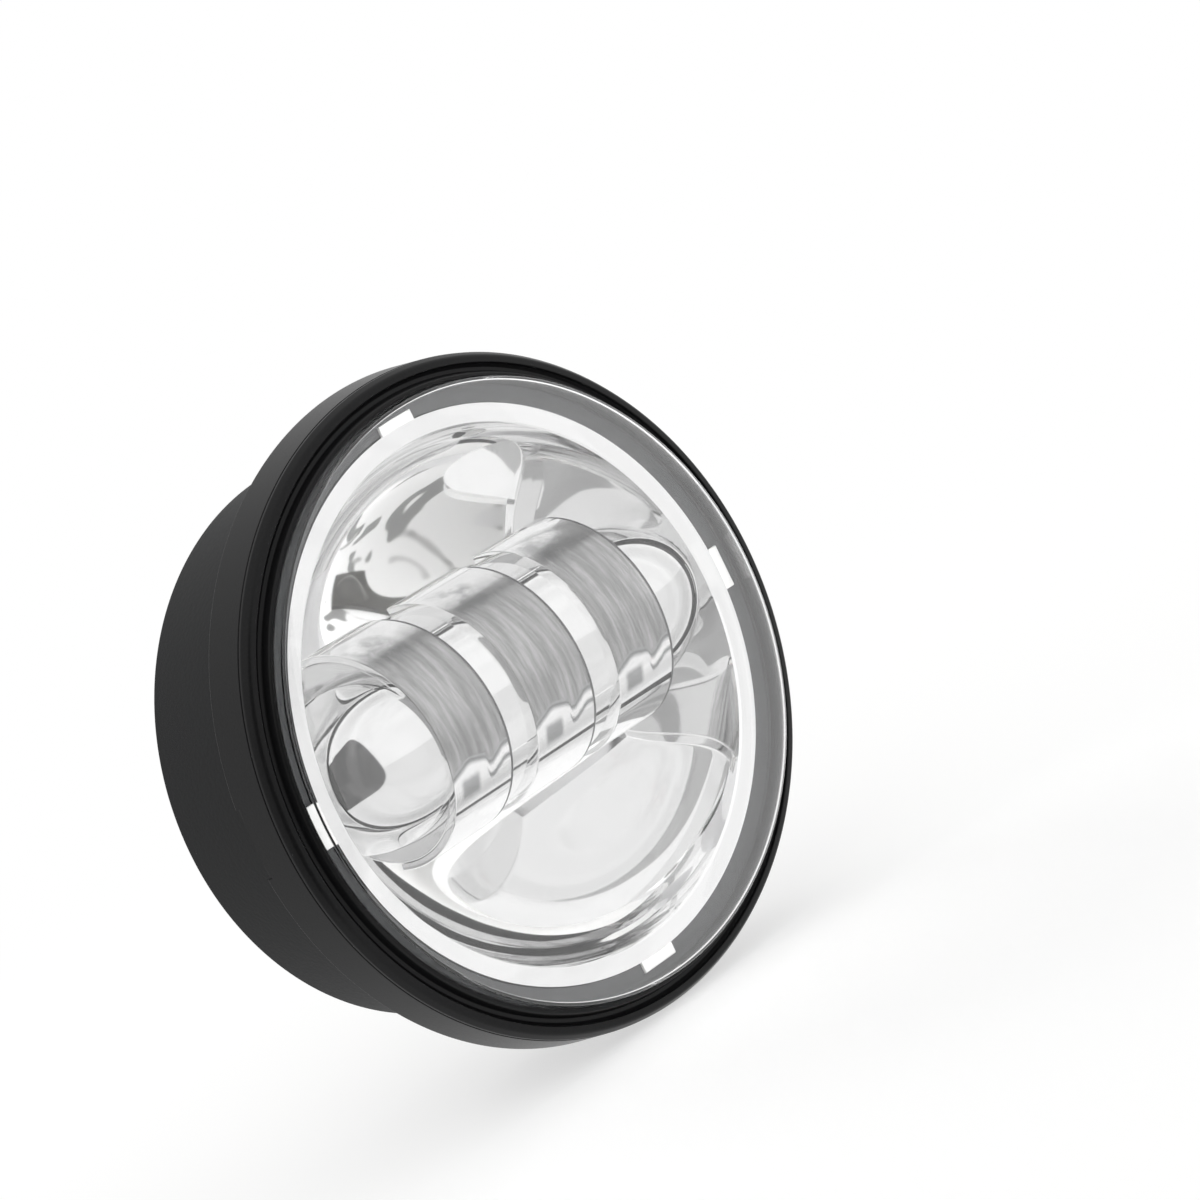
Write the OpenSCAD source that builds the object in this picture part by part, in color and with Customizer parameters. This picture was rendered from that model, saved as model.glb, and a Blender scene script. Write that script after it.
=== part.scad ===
// Round LED fog light with a 4.5 inch flange, as one sealed lamp unit.
// Millimetres. The light shines along -Y and +Z is up as installed.
// The origin is on the lamp's axis, in the plane of the flange's rear seat face.

/* [Flange and body] */
// Outer diameter of the flange at its rear edge
flange_d = 114.3; // [113.8:0.1:115]
// Depth of the flange from its seat face to the front ring
flange_t = 7.7; // [7.5:0.1:8.5]
// Diameter of the round body that passes through the mounting hole
body_d = 96; // [95.6:0.1:96.6]
// Length of the body behind the seat face
body_len = 29.8; // [29.6:0.1:31]
// Wall thickness of the body
body_wall = 2.1; // [1.9:0.1:2.2]
// Angle of the locating notch in the flange's rear edge, anticlockwise seen from the front
notch_angle = 2; // [-10:1:10]

/* [Front ring and lens] */
// Height of the front ring in front of the flange
ring_h = 3.1; // [3:0.1:3.5]
// Radius of the lens where it leaves the front ring
lens_r = 51.7; // [51:0.1:51.8]
// Height of the lens's side wall above the front ring
lens_wall = 1.6; // [1:0.1:2]
// Rise of the lens from its side wall to its centre
lens_crown = 7.3; // [7:0.1:9]
// Thickness of the lens
lens_t = 2.2; // [2:0.1:2.4]
// How much lower the lens turns into its side wall inside than outside
lens_drop = 0.4; // [0.3:0.1:1]

/* [Reflector] */
// Outer radius of the reflector's flat rim
rim_r = 47.6; // [47.4:0.1:47.7]
// Width of the flat rim
rim_w = 3.4; // [3:0.1:3.5]
// Depth of the bowl behind the rim
bowl_depth = 29.3; // [28.5:0.1:29.5]
// Width of the four locating tabs on the rim
tab_w = 7.4; // [6:0.2:9]

/* [Light bar] */
// Radius of the raised bands of the bar
band_r = 18.8; // [18:0.1:19]
// How far the grooves lie below the bands
groove_depth = 1.2; // [0.8:0.1:1.5]
// Height of the bar's axis above the lamp's axis
bar_z = 2.5; // [0:0.1:3]
// Distance of the bar's axis behind the seat plane
bar_y = 3.6; // [3.4:0.1:5]
// Half width of the middle band
band_mid = 7.1; // [6.5:0.1:7.5]
// Distance from the middle of the bar to the outer bands
band_in = 13.1; // [12.5:0.1:13.5]
// Distance from the middle of the bar to its ends
band_out = 26.7; // [26.5:0.1:27]
// Radius of the domes at the ends of the bar
dome_r = 14.2; // [13.5:0.1:14.4]

/* [Rear] */
// Number of cooling fins
fin_count = 13; // [9:2:13]
// Height of the cooling fins
fin_h = 16.2; // [12:0.1:17]
// Radius of the hole for the supply cable
cable_r = 3.1; // [2.5:0.1:3.2]
// Distance of the cable gland below the lamp's axis
gland_drop = 22; // [21.5:0.1:22.5]

/* [Hidden] */
$fn = 96;
fit = 0.05;                        // radial gap round screws and threads
body_r = body_d / 2;
cavity_r = body_r - body_wall;     // inside of the housing
flange_r = flange_d / 2;
collar_r = flange_r - 0.45;        // the flange tapers to this at its front
joint_y = -flange_t;               // where the front ring meets the flange
floor_y = joint_y + 1.4;           // floor of the recess that takes gasket and rim
gasket_t = 1;
gasket_y = floor_y - gasket_t;     // front face of the gasket
lip_r = lens_r + 0.5;              // lip of the lens, held under the front ring
lip_y = gasket_y - 1.8;
foot_r = lens_r - 0.9;             // inside of the lens's foot
ring_y = joint_y - ring_h;         // front of the front ring
wall_y = ring_y - lens_wall - 0.1; // top of the lens's side wall
recess_r = lip_r + 0.2;
ring_r = collar_r - 0.1;
socket_y = -3;                     // front end of the housing tube, inside the frame
spigot_in = 0.7;                   // the tube is this much narrower where it plugs into the frame,
spigot_r = body_r - spigot_in;     // and a cone of the same height leads to its full radius
seal_t = 0.8;

rim_y = floor_y - 1.6;             // front face of the reflector's rim
bowl_r = rim_r - rim_w;
bowl_t = 1.3;
tab_r = rim_r + 1.8;
tab_t = gasket_y - rim_y;

shell_r = band_r - groove_depth;   // the grooves show the shell of the bar
shell_t = 1.5;
wrap = 98;                         // the bar covers this many degrees each side of the front
plate_t = 1.2;
dome_y = bar_y - 4.1;              // the domes sit forward, nearly flush with the bands
dome_front = dome_y - dome_r - 1;  // just in front of the domes
dome_len = 18.4;
core_z = 4;                        // half thickness of the core
core_front = -6;
core_back = 12;
web_x = 20;
board_t = 1.2;
board_x = 24;
board_y = [1, 11];
led = [3.5, 3.5, 1];
led_pitch = 15;
led_y = 7.6;

base_t = 2.4;
base_y = body_len - base_t;        // front face of the heat sink's base
shelf_y = base_y - seal_t;         // shelf inside the housing that carries the seal
shelf_r = 42.4;
mouth_r = 46.4;
boss_pcd = 77;
boss_count = 6;
driver_y = 20.2;
driver_t = 1.6;
driver_r = [22, 34.4];
post_r = 29.5;                     // radius on which the driver board's posts stand
post_angles = [90, 210, 330];
part_r = 28.2;                     // radius on which the driver's components stand
core_screw_x = 12;
vent_z = 24;
lead_r = 0.7;
thread_r = 6;                      // gland thread, M12
hex_r = 8.66;                      // corner radius of a 15 mm hexagon
gland_top = body_len + fin_h;

// ---- Helpers ----

// Turns a shape built up along Z so that it runs along +Y.
module along_y() { rotate([-90, 0, 0]) children(); }

// A solid of revolution round the lamp's axis, from points [radius, y].
module turned(points) { along_y() rotate_extrude() polygon(points); }

// A flat ring round the lamp's axis, between two radii and two places along it.
module washer(inner, outer, y0, y1) {
    turned([[inner, y0], [outer, y0], [outer, y1], [inner, y1]]);
}

// Puts a shape at each place [x, z].
module at(places) { for (p = places) translate([p[0], 0, p[1]]) children(); }

// Places on a circle round the lamp's axis.
function polar(r, angles) = [for (a = angles) [r * cos(a), r * sin(a)]];

// A rod along +Y.
module rod(r, y0, y1) { translate([0, y0, 0]) along_y() cylinder(r = r, h = y1 - y0); }

// A hexagon bar along +Y, given by its corner radius.
module hex(r, y0, y1) { translate([0, y0, 0]) along_y() cylinder(r = r, h = y1 - y0, $fn = 6); }

// A box from its lowest to its highest corner.
module span(low, high) { translate(low) cube(high - low); }

// A pan head screw that points forward: its head rests at y and its shank goes to y - len.
module screw(r, y, len) {
    rod(r, y - len, y);
    difference() {
        rod(1.8 * r, y, y + 1.4 * r);
        hex(0.9 * r, y + 0.7 * r, y + 1.5 * r);
    }
}

// Places of the screws and posts
boss_places = polar(boss_pcd / 2, [for (i = [0:boss_count - 1]) 30 + 360 * i / boss_count]);
post_places = polar(post_r, post_angles);
core_places = [[-core_screw_x, bar_z], [core_screw_x, bar_z]];
gland_place = [[0, -gland_drop]];
vent_place = [[0, vent_z]];
board_screw_x = led_pitch / 2;

// Height of a lens surface: nearly flat in the middle, rounded down at its edge.
function crown_y(r, edge_r, edge_y, rise) = edge_y - rise * pow(1 - pow(r / edge_r, 2.4), 0.62);
function crown(edge_r, edge_y, rise, n = 20) =
    [for (i = [0:n]) let (r = edge_r * sin(90 * i / n)) [r, crown_y(r, edge_r, edge_y, rise)]];
function reversed(list) = [for (i = [len(list) - 1:-1:0]) list[i]];

// Half of an ellipse, from its rim at y0 to its bottom.
function bowl(r, y0, depth, n = 24) = [for (i = [0:n]) [r * cos(90 * i / n), y0 + depth * sin(90 * i / n)]];

// ---- Front ----

// Black moulded ring: a bead beside the lens, a deep groove, a step and a rounded outer land.
module front_ring() color("#1b1b1c")
    turned(concat(
        [[recess_r, joint_y], [ring_r, joint_y], [ring_r, joint_y - 0.5]],
        [for (a = [0:15:60]) [ring_r - 1.5 + 1.5 * cos(a), joint_y - 0.5 - 1.2 * sin(a)]],
        [[54.6, ring_y + 1], [54.45, ring_y + 1.45], [53.9, ring_y + 1.9], [53.2, ring_y + 1.8],
            [52.85, ring_y + 0.4], [52.6, ring_y + 0.05], [52.1, ring_y], [lens_r + 0.05, ring_y + 0.25],
            [lens_r + 0.05, lip_y], [recess_r, lip_y]]));

module lens() color("#dfe6ea", 0.35)
    turned(concat(
        crown(lens_r, wall_y, lens_crown),
        [[lens_r, lip_y], [lip_r, lip_y], [lip_r, gasket_y], [foot_r, gasket_y]],
        reversed(crown(foot_r, wall_y + lens_drop, lens_crown + lens_drop - lens_t))));

module lens_gasket() color("#8d8f91") washer(rim_r + 0.1, lip_r, gasket_y, floor_y);

module ring_bond() color("#3a3a3a") washer(53.6, 54.8, joint_y, joint_y + 0.8);

// Moulded frame with the mounting flange, a recess for the gasket and rim, and a socket for the housing.
module front_frame() color("#262627") difference() {
    turned([[cavity_r, floor_y], [recess_r, floor_y], [recess_r, joint_y], [53.6, joint_y],
        [53.6, joint_y + 0.8], [54.8, joint_y + 0.8], [54.8, joint_y], [collar_r, joint_y],
        [flange_r, -0.4], [flange_r - 0.4, 0], [body_r, 0], [spigot_r, -spigot_in],
        [spigot_r, socket_y - seal_t], [cavity_r, socket_y - seal_t]]);
    rotate([0, notch_angle, 0]) span([-flange_r - 1, -1.4, -6], [-flange_r + 1.1, 1, 6]);
}

module frame_seal() color("#3a3a3a") washer(cavity_r, spigot_r, socket_y - seal_t, socket_y);

// ---- Housing ----

// Tube with a shelf for the rear seal and six screw bosses.
module housing() color("#2b2b2d") difference() {
    union() {
        turned([[cavity_r, socket_y], [spigot_r, socket_y], [spigot_r, -spigot_in], [body_r, 0],
            [body_r, body_len - 1], [body_r - 1, body_len],
            [mouth_r, body_len], [mouth_r, shelf_y], [shelf_r, shelf_y], [shelf_r, shelf_y - 2],
            [cavity_r, shelf_y - 4]]);
        at(boss_places) rod(3.6, 16, base_y);
        for (p = boss_places) rotate([0, -atan2(p[1], p[0]), 0])
            span([boss_pcd / 2, 16, -2], [cavity_r + 0.5, shelf_y, 2]);
    }
    at(boss_places) rod(1.5 + fit, 18.5, base_y + 1);
}

// Base with parallel fins inside a cone, cleared round the screws, the vent and the gland.
module heat_sink() color("#303032") difference() {
    union() {
        washer(0, mouth_r - 0.3, base_y, body_len);
        intersection() {
            for (i = [0:fin_count - 1]) let (x = 72 * (i / (fin_count - 1) - 0.5))
                span([x - 0.9, body_len - 0.5, -45], [x + 0.9, gland_top, 45]);
            translate([0, body_len - 0.5, 0]) along_y() cylinder(r1 = 42, r2 = 34, h = fin_h + 0.5);
            difference() {
                rod(50, body_len - 1, gland_top + 1);
                at(boss_places) rod(3.7, body_len, gland_top + 2);
                at(core_places) rod(4.6, body_len, gland_top + 2);
                at(vent_place) rod(5.2, body_len, gland_top + 2);
                at(gland_place) rod(10.4, body_len, gland_top + 2);
            }
        }
        at(post_places) rod(2.5, driver_y + driver_t, base_y + 0.5);
    }
    at(boss_places) rod(1.65, base_y - 1, body_len + 1);
    at(core_places) rod(2.1, base_y - 1, body_len + 1);
    at(post_places) rod(1 + fit, driver_y, base_y);
    at(vent_place) rod(2.5, base_y - 1, body_len + 1);
    at(gland_place) rod(thread_r + fit, base_y - 1, body_len + 1);
}

module cover_seal() color("#3a3a3a") washer(shelf_r + 0.2, mouth_r - 0.3, shelf_y, base_y);

module cover_screws() color("#8f9194") at(boss_places) screw(1.5, body_len, 10);

module vent_plug() color("#1b1b1c") at(vent_place) {
    rod(2.45, base_y, body_len);
    rod(4.2, body_len, body_len + 1.2);
    rod(3.4, body_len + 1.2, body_len + 1.8);
}

// ---- Reflector ----

// The slot that lets the core and its leads through the back of the bowl.
module core_slot() {
    span([-web_x - 0.8, 5, bar_z - core_z - 0.6], [web_x + 0.8, 25, bar_z + core_z + 0.6]);
    span([-web_x - 6, 5, bar_z - 7.4], [-web_x, 25, bar_z + 7.4]);
}

module reflector() color("#e4e6e8") difference() {
    union() {
        turned(concat(
            [[rim_r, floor_y], [rim_r, rim_y + 0.2], [rim_r - 0.2, rim_y]],
            bowl(bowl_r, rim_y, bowl_depth),
            reversed(bowl(bowl_r + bowl_t, floor_y, bowl_depth + bowl_t + rim_y - floor_y))));
        for (a = [0:90:270]) rotate([0, a, 0])
            span([bowl_r + 1, rim_y, -tab_w / 2], [tab_r, rim_y + tab_t, tab_w / 2]);
    }
    core_slot();
}

// The space inside the bowl, up to the lens.
module bowl_space() turned(concat([[0, dome_front], [bowl_r - 0.2, dome_front]],
    bowl(bowl_r - 0.2, rim_y, bowl_depth - 0.3)));

// ---- Light bar ----

// Part of a tube round the bar's axis, open at the back, from x0 to x1.
module bar_arc(x0, x1, inner, outer) translate([0, bar_y, bar_z]) rotate([0, 90, 0])
    rotate([0, 0, 270 - wrap]) rotate_extrude(angle = 2 * wrap)
        translate([inner, x0]) square([outer - inner, x1 - x0]);

module bar_shell() color("#e6e8ea")
    bar_arc(-band_out + plate_t, band_out - plate_t, shell_r - shell_t, shell_r);

module bar_band(x0, x1) color("#c4c6c8") bar_arc(x0, x1, shell_r, band_r);

module bar_band_left() bar_band(-band_out, -band_in);
module bar_band_middle() bar_band(-band_mid, band_mid);
module bar_band_right() bar_band(band_in, band_out);

// End plate of the bar with its dome, cut off where it meets the bowl. This is the right one.
module bar_end() {
    intersection() {
        translate([0, dome_y, bar_z]) rotate([0, 90, 0]) rotate_extrude()
            polygon(concat(
                [for (a = [0:6:90]) [dome_r * cos(a), band_out + dome_len * sin(a)]],
                [for (a = [90:-6:0]) [(dome_r - 1.4) * cos(a), band_out + (dome_len - 1.4) * sin(a)]]));
        bowl_space();
    }
    difference() {
        translate([band_out - plate_t, bar_y, bar_z]) rotate([0, 90, 0])
            cylinder(r = shell_r - fit, h = plate_t);
        span([0, 12, -60], [60, 60, 60]);
        bar_end_holes(fit);
    }
}

module bar_end_holes(gap) for (y = [-2, 7]) translate([band_out - plate_t - 5, y, bar_z])
    rotate([0, 90, 0]) cylinder(r = 1.25 + gap, h = 5 + plate_t + 0.1);

module bar_end_right() color("#e2e4e6") bar_end();
module bar_end_left() color("#e2e4e6") mirror([1, 0, 0]) bar_end();

module bar_end_screws() color("#a9abae") for (m = [0, 1]) mirror([m, 0, 0]) for (y = [-2, 7])
    translate([band_out, y, bar_z]) rotate([0, 90, 0]) {
        translate([0, 0, -plate_t - 4.8]) cylinder(r = 1.25, h = plate_t + 4.8);
        cylinder(r = 2.2, h = 1.6);
    }

// Aluminium beam inside the bar, with a web that carries its heat back to the heat sink.
module bar_core() color("#b4b7ba") difference() {
    union() {
        span([-band_out + plate_t, core_front, bar_z - core_z],
            [band_out - plate_t, core_back, bar_z + core_z]);
        span([-web_x, core_back - 1, bar_z - core_z], [web_x, shelf_y, bar_z + core_z]);
    }
    for (m = [0, 1]) mirror([m, 0, 0]) bar_end_holes(fit);
    at(core_places) rod(2 + fit, 15.3, base_y);
    for (x = [-board_screw_x, board_screw_x]) translate([x, led_y, bar_z])
        cylinder(r = 1 + fit, h = 30, center = true);
}

// ---- Light source ----

// Shows a child for the upper board (side 1) or turned over for the lower one (side -1).
module on_side(side)
    translate([0, 0, bar_z]) mirror([0, 0, side > 0 ? 0 : 1]) translate([0, 0, core_z]) children();

module led_board(side) color("#e9ebe6") on_side(side) difference() {
    span([-board_x, board_y[0], 0], [board_x, board_y[1], board_t]);
    for (x = [-board_screw_x, board_screw_x]) translate([x, led_y, -1]) cylinder(r = 1.1, h = 4);
}
module led_board_upper() led_board(1);
module led_board_lower() led_board(-1);

module leds(side) color("#e8c840") on_side(side) for (i = [-1:1])
    translate([i * led_pitch - led[0] / 2, led_y - led[1] / 2, board_t]) {
        cube([led[0], led[1], 0.4]);
        translate([led[0] / 2, led[1] / 2, 0.4]) intersection() {
            translate([0, 0, -0.8]) sphere(r = 1.6, $fn = 48);
            cylinder(r = 2, h = led[2]);
        }
    }
module leds_upper() leds(1);
module leds_lower() leds(-1);

module board_screws() color("#a9abae") for (side = [1, -1]) on_side(side)
    for (x = [-board_screw_x, board_screw_x]) translate([x, led_y, board_t]) {
        translate([0, 0, -board_t - 3]) cylinder(r = 1, h = board_t + 3);
        cylinder(r = 1.8, h = 1.2);
    }

// A wire of eight sides swept along a list of points.
function unit(v) = v / norm(v);
function heading(p, i) = unit(p[min(i + 1, len(p) - 1)] - p[max(i - 1, 0)]);
function wire_ring(centre, along, sides = 8) =
    let (u = unit(cross(along, [0, 0.3, 1])), v = cross(along, u))
    [for (k = [0:sides - 1]) centre + lead_r * (u * cos(360 * k / sides) + v * sin(360 * k / sides))];
module wire(points, sides = 8) {
    last = len(points) - 1;
    rings = [for (i = [0:last]) each wire_ring(points[i], heading(points, i))];
    walls = [for (i = [0:last - 1], k = [0:sides - 1]) let (n = (k + 1) % sides)
        [i * sides + k, (i + 1) * sides + k, (i + 1) * sides + n, i * sides + n]];
    ends = [[for (k = [0:sides - 1]) k], [for (k = [sides - 1:-1:0]) last * sides + k]];
    polyhedron(rings, concat(walls, ends));
}

// One lead to each LED board: it leaves the driver board, passes the slot and lies on the LED board.
module leads(x) for (side = [1, -1]) on_side(side) wire([
    [x - 1.4, driver_y, board_t + lead_r],
    [x - 1.4, driver_y - 1.6, board_t + lead_r],
    [x, 16, board_t + lead_r],
    [x, 9, board_t + lead_r]]);
module leads_red() color("#b02020") leads(-web_x - 1.7);
module leads_black() color("#202020") leads(-web_x - 3.4);

// ---- Driver ----

module driver_board() color("#1f5a3a") difference() {
    washer(driver_r[0], driver_r[1], driver_y, driver_y + driver_t);
    at(post_places) rod(1.2, driver_y - 1, driver_y + driver_t + 1);
}

module driver_coil() color("#8a5a2b") translate([part_r, driver_y + driver_t + 1.9, 0]) along_y()
    rotate_extrude() translate([3.8, 0]) circle(r = 1.9, $fn = 32);

module driver_capacitors() color("#35363a") for (a = [52, 128])
    translate([part_r * cos(a), driver_y + driver_t + 2.5, part_r * sin(a)])
        rotate([0, -a, 0]) cylinder(r = 2.5, h = 8, center = true);

module driver_chip() color("#18181a") span([-part_r - 3, driver_y + driver_t, -2.5],
    [-part_r + 3, driver_y + driver_t + 1.6, 2.5]);

// Two-pole screw terminal in which the supply cable's cores end.
module terminal_block() color("#2f6f4f") let (a = 238, y0 = driver_y + driver_t)
    translate([part_r * cos(a), 0, part_r * sin(a)]) rotate([0, 90 - a, 0]) difference() {
        span([-5, y0, -3.2], [5, y0 + 4.8, 3.2]);
        for (x = [-2.5, 2.5]) {
            translate([x, 0, 0.8]) rod(1.6, y0 + 3.4, y0 + 6);
            translate([x, y0 + 2, -4]) cylinder(r = 1.1, h = 4);
        }
    }

// These screws point backwards into the posts of the heat sink.
module driver_screws() color("#a9abae") at(post_places) {
    rod(1, driver_y, driver_y + 6);
    rod(1.9, driver_y - 1.3, driver_y);
}

module thermal_pad() color("#7fa7c9") difference() {
    span([-web_x, shelf_y, bar_z - core_z], [web_x, base_y, bar_z + core_z]);
    at(core_places) rod(2.3, shelf_y - 1, base_y + 1);
}

module core_screws() color("#8f9194") at(core_places) screw(2, body_len, 14);

// ---- Cable gland ----

module gland_washer() color("#3a3a3a") at(gland_place) difference() {
    rod(8.4, body_len, body_len + 1);
    rod(thread_r + fit, body_len - 1, body_len + 2);
}

module gland_body() color("#242425") at(gland_place) difference() {
    union() {
        rod(thread_r, base_y - 3.2, gland_top - 5);
        hex(hex_r, body_len + 1, body_len + 5);
    }
    rod(cable_r, 0, 60);
    rod(4.6, gland_top - 10, 60);
}

module gland_locknut() color("#8f9194") at(gland_place) difference() {
    hex(hex_r, base_y - 2.8, base_y);
    rod(thread_r, 0, 60);
}

module gland_seal() color("#3a3a3a") at(gland_place) difference() {
    rod(4.6, gland_top - 10, gland_top - 4.4);
    rod(cable_r, 0, 60);
}

// Cap nut that squeezes the seal onto the cable.
module gland_nut() color("#242425") at(gland_place) difference() {
    union() {
        hex(hex_r, gland_top - 9.6, gland_top - 3);
        translate([0, gland_top - 3, 0]) along_y() cylinder(r1 = 7.3, r2 = 5.2, h = 3);
    }
    rod(thread_r, gland_top - 10, gland_top - 4.4);
    rod(cable_r, 0, 60);
}

front_ring();
lens();
lens_gasket();
ring_bond();
front_frame();
frame_seal();
housing();
reflector();
bar_shell();
bar_band_left();
bar_band_middle();
bar_band_right();
bar_end_left();
bar_end_right();
bar_end_screws();
bar_core();
led_board_upper();
led_board_lower();
leds_upper();
leds_lower();
board_screws();
leads_red();
leads_black();
driver_board();
driver_coil();
driver_capacitors();
driver_chip();
terminal_block();
driver_screws();
thermal_pad();
core_screws();
heat_sink();
cover_seal();
cover_screws();
vent_plug();
gland_washer();
gland_body();
gland_locknut();
gland_seal();
gland_nut();
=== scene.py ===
# %% [markdown]
# # A round fog light, from the bare frame to a finished picture
#
# The lamp is a sealed unit: a black moulded ring and frame, a clear domed cover, a bright reflector with a
# horizontal light bar across it, and a cast body with cooling fins behind. Its construction comes from the
# CAD model, and this lesson gives every piece its finish. Each piece that shows is built again as a finely
# rounded mesh at the same place and size, because mirror-bright plating shows every facet of a coarse one.
#
# The light shines along -Y and +Z is up. Sizes are written in millimetres and turned to metres once.

# %% Load the frame
import math

import bmesh
import bpy
from mathutils import Matrix, Vector


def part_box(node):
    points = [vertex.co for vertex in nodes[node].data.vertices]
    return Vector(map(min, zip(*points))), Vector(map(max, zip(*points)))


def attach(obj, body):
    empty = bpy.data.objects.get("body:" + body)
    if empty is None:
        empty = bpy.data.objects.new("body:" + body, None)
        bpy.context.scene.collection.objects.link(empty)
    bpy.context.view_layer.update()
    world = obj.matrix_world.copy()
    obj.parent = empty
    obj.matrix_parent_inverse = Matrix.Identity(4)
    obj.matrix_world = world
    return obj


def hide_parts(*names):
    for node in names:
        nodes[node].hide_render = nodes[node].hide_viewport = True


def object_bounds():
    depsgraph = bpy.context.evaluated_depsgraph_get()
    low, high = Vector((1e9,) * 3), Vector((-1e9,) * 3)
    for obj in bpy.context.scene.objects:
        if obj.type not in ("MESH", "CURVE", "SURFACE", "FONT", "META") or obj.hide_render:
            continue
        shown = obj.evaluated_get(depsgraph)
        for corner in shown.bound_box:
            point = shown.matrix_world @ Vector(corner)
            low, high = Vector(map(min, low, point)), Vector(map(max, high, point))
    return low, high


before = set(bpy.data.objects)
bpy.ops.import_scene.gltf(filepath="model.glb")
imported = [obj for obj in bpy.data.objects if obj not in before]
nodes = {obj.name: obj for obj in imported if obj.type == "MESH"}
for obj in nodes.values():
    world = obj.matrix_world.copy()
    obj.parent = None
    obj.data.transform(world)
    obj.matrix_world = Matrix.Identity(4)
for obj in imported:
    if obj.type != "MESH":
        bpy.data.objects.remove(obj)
cad_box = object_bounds()
MM = 0.001
print("CAD nodes:", len(nodes))
print("CAD box in mm:", [round(v / MM, 2) for corner in cad_box for v in corner])


# %% [markdown]
# ## Small tools
#
# A colour is written as the sRGB hex value that a paint chart gives, and Blender works in linear light, so
# one function turns the first into the second. A second one adds a shader node, sets its values and links
# its inputs, which keeps each material short enough to read at a glance. The helpers after it write the
# nodes that come again and again: arithmetic, a change of span, and blends of colours and of shaders.

# %% Colour and nodes
def linear(hex_colour):
    """sRGB hex such as "#1b1b1c" as linear red, green, blue and alpha."""
    parts = [int(hex_colour[i:i + 2], 16) / 255 for i in (1, 3, 5)]
    return tuple(c / 12.92 if c <= 0.04045 else ((c + 0.055) / 1.055) ** 2.4 for c in parts) + (1.0,)


def add(tree, kind, settings=None, links=None):
    """Adds one node: settings holds its properties and input values, links its inputs' sources."""
    node = tree.nodes.new(kind)
    for key, value in (settings or {}).items():
        if isinstance(key, str) and hasattr(node, key):
            setattr(node, key, value)
        else:
            node.inputs[key].default_value = value
    for key, source in (links or {}).items():
        tree.links.new(source, node.inputs[key])
    return node


def new_material(name, **values):
    """A material with one Principled shader, and that shader's own values."""
    material = bpy.data.materials.new(name)
    material.use_nodes = True
    tree = material.node_tree
    tree.nodes.clear()
    shader = add(tree, "ShaderNodeBsdfPrincipled", {k.replace("_", " "): v for k, v in values.items()})
    add(tree, "ShaderNodeOutputMaterial", links={"Surface": shader.outputs["BSDF"]})
    return material, tree, shader


print("mid grey in linear light:", round(linear("#808080")[0], 3))


# %% Node helpers
def reckon(tree, operation, *values):
    """The result of a Math node. Each value is a number, or the output of another node."""
    node = add(tree, "ShaderNodeMath", {"operation": operation})
    for place, value in enumerate(values):
        if isinstance(value, (int, float)):
            node.inputs[place].default_value = value
        else:
            tree.links.new(value, node.inputs[place])
    return node.outputs[0]


def scaled(tree, source, **span):
    """A source mapped from one span to another, such as to_min=0.1, to_max=0.4."""
    settings = {key.replace("_", " ").title(): value for key, value in span.items()}
    return add(tree, "ShaderNodeMapRange", settings, {"Value": source}).outputs["Result"]


def blend(tree, share, first, second):
    """A colour between two. Each is a hex value, or the output of another node."""
    node = add(tree, "ShaderNodeMix", {"data_type": "RGBA"}, {0: share})
    for place, colour in ((6, first), (7, second)):
        if isinstance(colour, str):
            node.inputs[place].default_value = linear(colour)
        else:
            tree.links.new(colour, node.inputs[place])
    return node.outputs[2]


def mixed(tree, share, first, second):
    """A mix of two shaders: the second one in full where the share is 1."""
    return add(tree, "ShaderNodeMixShader", links={0: share, 1: first.outputs[0], 2: second.outputs[0]})


def use_shader(tree, shader):
    """Makes this shader the material's surface."""
    tree.links.new(shader.outputs[0], tree.nodes["Material Output"].inputs["Surface"])


# %% [markdown]
# ## Meshes from outlines
#
# Nearly every piece of a round lamp is turned: an outline swept round an axis. So one function sweeps a
# closed outline of (radius, y) points, and rounds each corner that carries a third number, its radius.
# Real mouldings have no sharp edges, and the small rounds are what catches the light. A shape function may
# change the radius with the angle, which turns a round bar into a hexagon or a fluted nut.

# %% Outlines
ROUND_STEP, SHARP_ANGLE = math.radians(15), math.radians(38)
SIDE_SHARE = 0.49    # a round takes up less than half of each side beside it
ON_AXIS = 1e-6       # millimetres
WELD = 1e-7          # metres


def rounded(outline):
    """Replaces each corner (a, b, radius) of a closed outline by an arc, and keeps the plain corners."""
    points = []
    for i, corner in enumerate(outline):
        here = Vector(corner[:2])
        if len(corner) == 2:
            points.append(here)
            continue
        before = Vector(outline[i - 1][:2]) - here
        after = Vector(outline[(i + 1) % len(outline)][:2]) - here
        half = before.angle(after) / 2
        reach = min(corner[2] / math.tan(half), before.length * SIDE_SHARE, after.length * SIDE_SHARE)
        radius = reach * math.tan(half)
        centre = here + (before.normalized() + after.normalized()).normalized() * radius / math.sin(half)
        start = here + before.normalized() * reach - centre
        turn = start.angle_signed(here + after.normalized() * reach - centre)
        count = max(2, round(abs(turn) / ROUND_STEP))
        for k in range(count + 1):
            points.append(centre + Matrix.Rotation(-turn * k / count, 2) @ start)
    return points


def mesh_piece(name, vertices, faces, material):
    """A new object from millimetre points, smooth except at its sharp edges."""
    mesh = bpy.data.meshes.new(name)
    mesh.from_pydata([Vector(v) * MM for v in vertices], [], faces)
    mesh.validate()
    work = bmesh.new()
    work.from_mesh(mesh)
    bmesh.ops.remove_doubles(work, verts=work.verts, dist=WELD)
    bmesh.ops.recalc_face_normals(work, faces=work.faces)
    work.to_mesh(mesh)
    work.free()
    mesh.shade_smooth()
    mesh.set_sharp_from_angle(angle=SHARP_ANGLE)
    mesh.materials.append(material)
    piece = bpy.data.objects.new(name, mesh)
    bpy.context.scene.collection.objects.link(piece)
    return piece


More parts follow.
